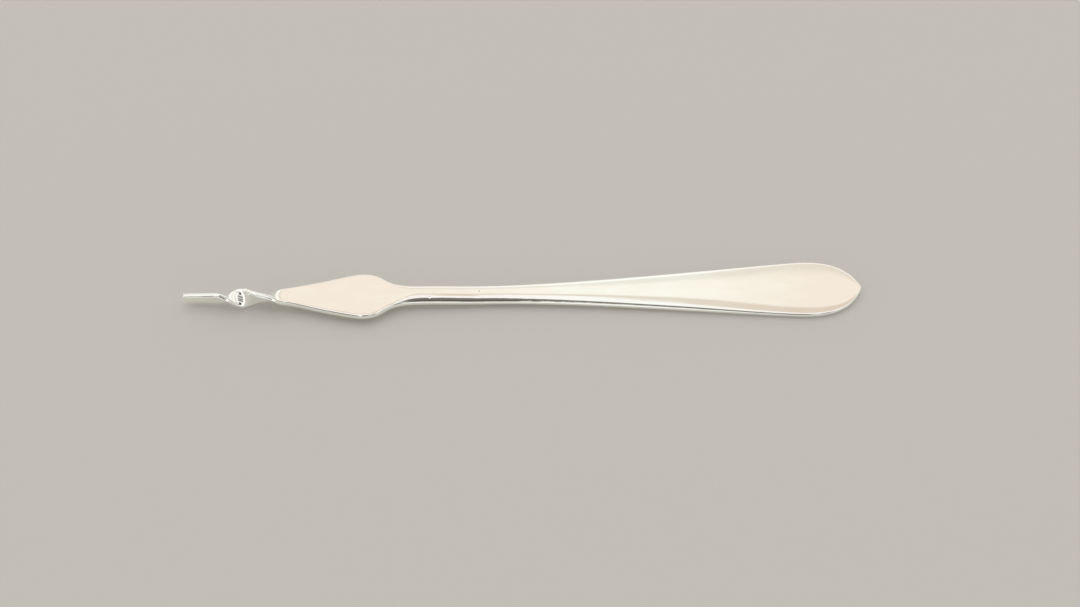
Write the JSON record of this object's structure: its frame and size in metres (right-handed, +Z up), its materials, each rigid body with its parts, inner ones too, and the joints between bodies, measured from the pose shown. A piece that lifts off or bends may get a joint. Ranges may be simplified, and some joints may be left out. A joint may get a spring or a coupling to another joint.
{
  "type": "butter pick",
  "caption": "Silver butter pick: a plain handle with a pointed oval end, a slim shank, a flat lozenge blade and a flat tine twisted until its tip stands on edge.",
  "frame": {"origin": "on the resting surface, under the middle of the overall length", "axes": "+X from the tine's tip to the handle's point, +Y across the pick, +Z up out of the face"},
  "size_m": [0.15, 0.0166, 0.0044],
  "materials": {
    "silver": "polished, with fine wear"
  },
  "bodies": {
    "root": {"handle": "silver", "shank": "silver", "blade": "silver", "twisted_tine": "silver"}
  },
  "joints": []
}
